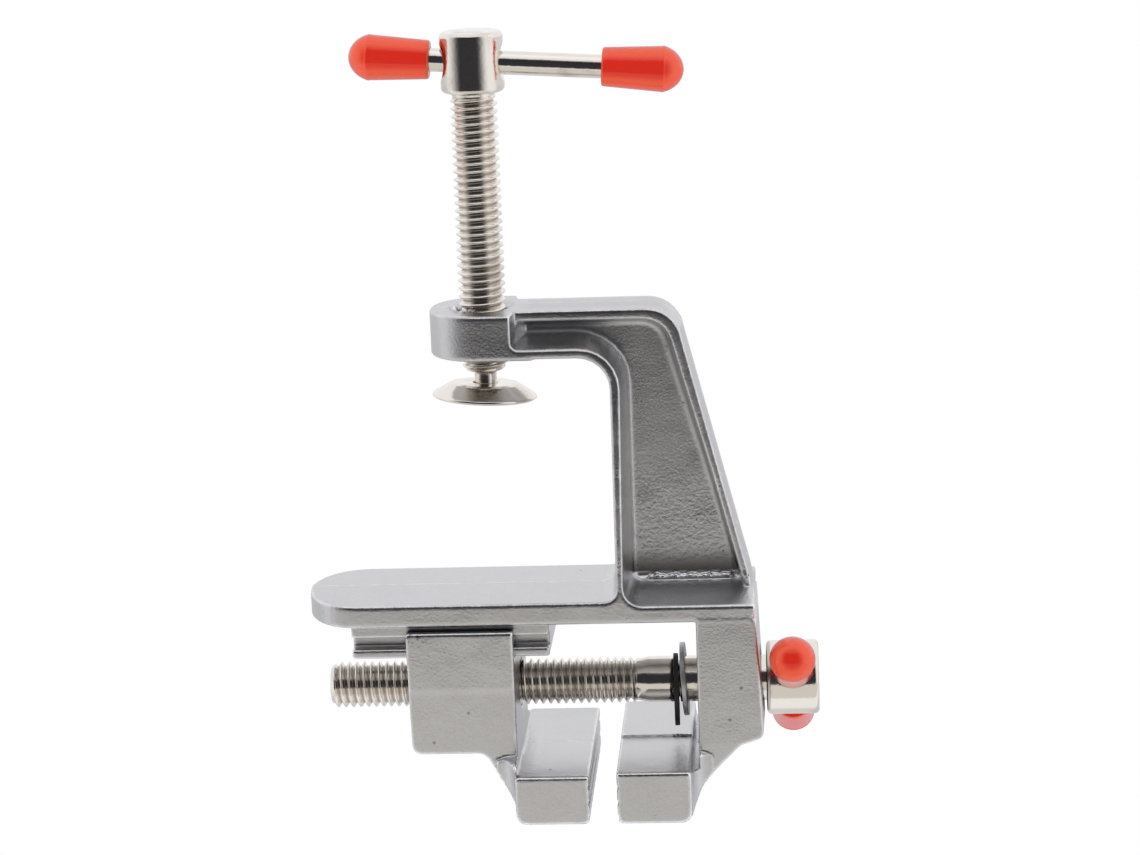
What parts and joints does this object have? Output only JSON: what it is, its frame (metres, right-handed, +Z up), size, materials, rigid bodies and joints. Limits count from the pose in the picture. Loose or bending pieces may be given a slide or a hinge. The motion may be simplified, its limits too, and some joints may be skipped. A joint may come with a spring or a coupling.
{
  "type": "bench vise",
  "caption": "Small clamp-on bench vise: a fixed and a sliding jaw over a table clamp, with two screws turned by tommy bars.",
  "frame": {"origin": "on the seat, the flat face of the frame casting that rests on the bench, where the clamp screw's axis meets it", "axes": "+Z up from the bench towards the jaws, +X along the vise screw away from its head, towards the tongue's round end, +Y across the jaws"},
  "size_m": [0.0823, 0.0502, 0.1257],
  "materials": {
    "cast_aluminium": "die-cast and tumbled, satin to polished, with small pits",
    "nickel": "bright nickel plating, slightly warm",
    "black_oxide": "black oxide on spring steel",
    "zinc": "grey zinc plate",
    "red_vinyl": "glossy dip-moulded red-orange vinyl"
  },
  "bodies": {
    "frame": {"frame_casting": "cast_aluminium"},
    "moving_jaw": {"moving_jaw": "cast_aluminium"},
    "vise_screw": {"vise_screw": "nickel", "retaining_clip": "black_oxide", "thrust_washer": "zinc"},
    "vise_bar": {"vise_tommy_bar": "nickel", "vise_bar_cap_long_side": "red_vinyl", "vise_bar_cap_short_side": "red_vinyl"},
    "pressure_pad": {"pressure_pad": "nickel"},
    "clamp_screw": {"clamp_screw": "nickel"},
    "clamp_bar": {"clamp_tommy_bar": "nickel", "clamp_bar_cap_long_side": "red_vinyl", "clamp_bar_cap_short_side": "red_vinyl"}
  },
  "joints": [
    {"name": "jaw_slide", "type": "slide", "parent": "frame", "child": "moving_jaw", "axis": [1, 0, 0], "range_m": [-0.0042, 0.0206]},
    {"name": "vise_screw_turn", "type": "hinge", "parent": "frame", "child": "vise_screw", "pos_m": [-0.048, 0, 0.0165], "axis": [1, 0, 0], "range_deg": [-5940, 1215]},
    {"name": "vise_bar_slide", "type": "slide", "parent": "vise_screw", "child": "vise_bar", "axis": [0, 0.8829, 0.4695], "range_m": [-0.017, 0.0004]},
    {"name": "clamp_feed", "type": "slide", "parent": "frame", "child": "pressure_pad", "axis": [0, 0, 1], "range_m": [-0.0044, 0.0304]},
    {"name": "clamp_screw_turn", "type": "hinge", "parent": "pressure_pad", "child": "clamp_screw", "pos_m": [0, 0, -0.0854], "axis": [0, 0, 1], "range_deg": [-1270, 8760]},
    {"name": "clamp_bar_slide", "type": "slide", "parent": "clamp_screw", "child": "clamp_bar", "axis": [-0.9976, 0, 0.0698], "range_m": [-0.0152, 0.0014]}
  ],
  "couplings": [
    {"joint": "vise_screw_turn", "follows": "jaw_slide", "rad_per_m": -5026.5},
    {"joint": "clamp_screw_turn", "follows": "clamp_feed", "rad_per_m": 5026.5}
  ]
}
